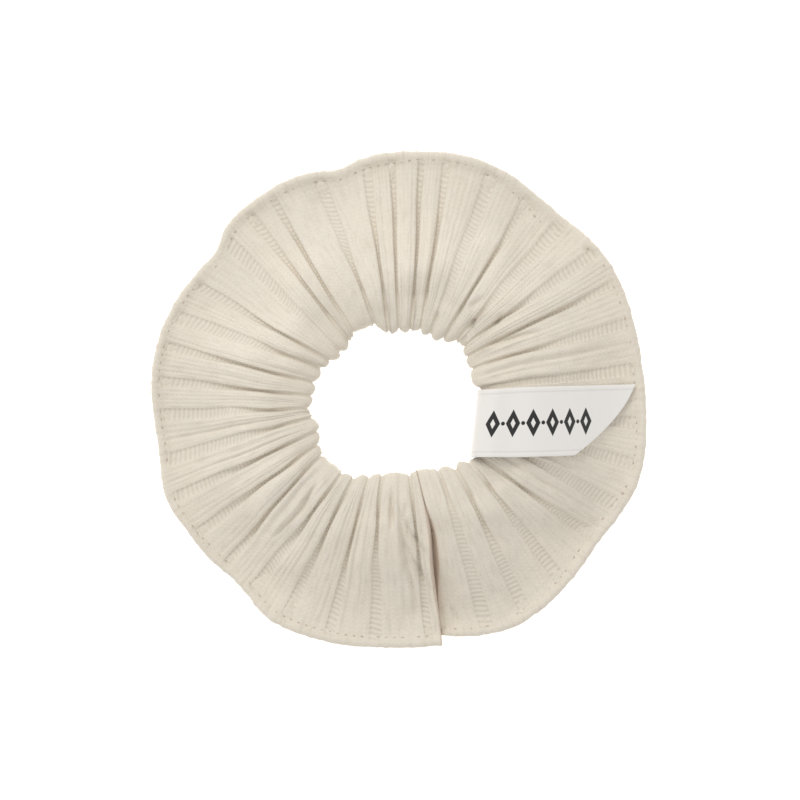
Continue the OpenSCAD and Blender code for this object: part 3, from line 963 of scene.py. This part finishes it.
def end_caps(grid, count):
    """The four-sided faces that close the first and the last row of a sheet whose upper side is the first
    count columns of the grid, and whose lower side comes back through the next ones."""
    upper, lower = grid[:, :count], grid[:, count : 2 * count][:, ::-1]
    first = np.stack([upper[0, :-1], upper[0, 1:], lower[0, 1:], lower[0, :-1]], 1)
    return [first, np.stack([upper[-1, :-1], lower[-1, :-1], lower[-1, 1:], upper[-1, 1:]], 1)]


def label_sheet():
    """The ribbon as a closed thin sheet: the side view swept across the ribbon's width, each thread of it
    cut off where the slanted end is, thickened by half its thickness each way."""
    path_x, path_z, path_long = path = label_path()
    across = np.r_[-1, np.linspace(-0.985, 0.985, 40), 1]
    tip_x = TIP_X + 7.6 * across + 2.3 * (1 - across**2)
    front = np.argmax(path_z > UPRIGHT_TOP + 1)
    ends = np.interp(tip_x, path_x[front:], path_long[front:])
    share = np.r_[0, 0.004, np.linspace(0.01, 0.99, 150), 0.996, 1]
    long = share[:, None] * ends[None, :]
    x, z, along_x, along_z = follow(*path, long, 0.3)
    on_front = ease(long, 32, 40)
    y = LABEL_Y + across[None, :] * LABEL_W / 2
    y = y + on_front * (0.028 * (x - 18)) + 0.25 * across[None, :] * ease(x, 20, 30) * on_front
    x = x + 0.105 * (y - LABEL_Y) * (1 - ease(x, 20, 34)) * ease(long, 16, 21)
    ripple = 0.16 * np.sin(x * 0.38 + across[None, :] * 0.9) * on_front
    z = z + ripple + 0.35 * on_front * ease(x, 40, 56)
    middle = np.stack([x, y, z], -1)
    out = np.stack([-along_z, 0 * x, along_x], -1)
    edge = np.minimum(1, (1 - np.abs(across)) * 60)[None, :, None] * 0.5 + 0.5
    top = middle + out * LABEL_T / 2 * edge
    low = middle - out * LABEL_T / 2 * edge
    grid = np.concatenate([top, low[:, ::-1]], axis=1)
    wrap = closed_rows(grid)
    v = across * LABEL_W / 2 / LABEL_UV + 0.5
    v = np.concatenate([v, v[::-1], v[:1]])
    u = np.concatenate([long, long[:, ::-1], long[:, :1]], axis=1) / UV_MM
    place = np.stack([u, np.broadcast_to(v, u.shape)], -1)
    count = len(across)
    made = add_mesh(
        "ribbon_label",
        grid.reshape(-1, 3),
        [cells(wrap, flip=True)] + end_caps(wrap, count),
        ribbon,
        [cells(place, flip=True)] + end_caps(place, count),
        flat=(1, 2),
    )
    area = float(np.mean(ends)) * LABEL_W * MM**2
    return made, float(ends.max()), area


label, label_long, label_area = label_sheet()

# ---- small threads


def seam_threads():
    """Bars of thread across the closing seam, 3 mm apart and 1.9 mm under its bottom line."""
    inward = np.arange(0.16, 0.62, 3 / (RIM_R - HOLE_R))
    r = RIM_R - inward * (RIM_R - HOLE_R)
    angle = (through(LIP_RIGHT, inward) + through(LIP_LEFT, inward) - 360) / 2
    high = front_height(r) - through(SEAM_DEEP, inward) - 1.9
    r, angle = placed(r, angle), np.radians(angle)
    way = around(1, angle + np.pi / 2, 0)
    return stitches("closing_seam_thread", around(r, angle, high), way, 1.3, 0.2, yarn)


def tack_threads():
    """Four bars of thread that hold the ribbon's back leg."""
    low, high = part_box("ribbon_tack_stitch")
    y = np.linspace(low[1], high[1], 5) / MM
    y = (y[:-1] + y[1:]) / 2
    x = (low[0] + high[0]) / 2 / MM
    spot = np.stack([0 * y + x, y, 0 * y + 0.14], 1)
    way = np.tile([0.0, 1.0, 0.0], (len(y), 1))
    return stitches("ribbon_tack_stitch_thread", spot, way, 1.9, 0.12, yarn)


def lap_threads():
    """The zigzag that holds the elastic's lap: bars leaning one way and then the other."""
    low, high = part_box("elastic_lap_stitch")
    y = np.linspace(low[1], high[1], 9) / MM
    x = -(band_r[180] + 1.55)
    spot = np.stack([0 * y + x - 0.02 * (5 - np.abs(y)), y, 0 * y + BAND_MID], 1)
    lean = np.where(np.arange(len(y)) % 2 == 0, 1.0, -1.0)
    way = np.stack([0 * y, 0.4 * lean, 0.9 + 0 * y], 1)
    way = way / np.linalg.norm(way, axis=1)[:, None]
    return stitches("elastic_lap_zigzag", spot, way, 3.2, 0.17, yarn)


seam_thread, tack, zigzag = seam_threads(), tack_threads(), lap_threads()

# ---- what moves with what

for piece in (cover, cover_back, topstitch, understitch, band, lap, zigzag):
    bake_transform(piece)
for piece in (seam_thread, tack):
    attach(piece, "right_half")
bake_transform(label)

for piece in (cover, cover_back):
    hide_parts("cover_left", "cover_right")
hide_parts("rim_stitch_front_left", "rim_stitch_front_right")
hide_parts("rim_stitch_back_left", "rim_stitch_back_right")
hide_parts("elastic_band")
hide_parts("elastic_lap_stitch")
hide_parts("closing_seam_stitch")
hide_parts("ribbon_tack_stitch")
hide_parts("ribbon_front", "ribbon_back_leg")

# ---- table, light and camera

floor_mesh = bpy.data.meshes.new("table")
far = 2
floor_mesh.from_pydata([(-far, -far, 0), (far, -far, 0), (far, far, 0), (-far, far, 0)], [], [(0, 1, 2, 3)])
floor_mesh.materials.append(table_top())
floor = shown("table", floor_mesh)

world = bpy.data.worlds.new("studio")
world.use_nodes = True
sky = world.node_tree.nodes["Background"].inputs
sky["Color"].default_value = (1.0, 0.995, 0.985, 1)
sky["Strength"].default_value = 0.745
bpy.context.scene.world = world

# One large square lamp beyond the object and to the left, facing it. Metres and watts.
key_data = bpy.data.lights.new("key", "AREA")
key_data.size, key_data.energy = 0.6, 7.0
key = shown("key", key_data)
key.location = (-0.5, 0.95, 0.95)
key.rotation_euler = (-key.location).to_track_quat("-Z", "Y").to_euler()

# Straight above the ring. The view is twice VIEW_HALF wide at the height of the ring's middle. Metres.
CAMERA_HIGH = 0.9
RING_MIDDLE = 0.008
VIEW_HALF = 0.0976

camera_data = bpy.data.cameras.new("camera")
camera_data.sensor_width = 36
camera_data.lens = camera_data.sensor_width / 2 * (CAMERA_HIGH - RING_MIDDLE) / VIEW_HALF
camera_data.clip_start, camera_data.clip_end = 0.05, 20
camera = shown("camera", camera_data)
camera.location = (0, 0.0005, CAMERA_HIGH)
bpy.context.scene.camera = camera
bpy.context.scene.view_settings.view_transform = "Standard"
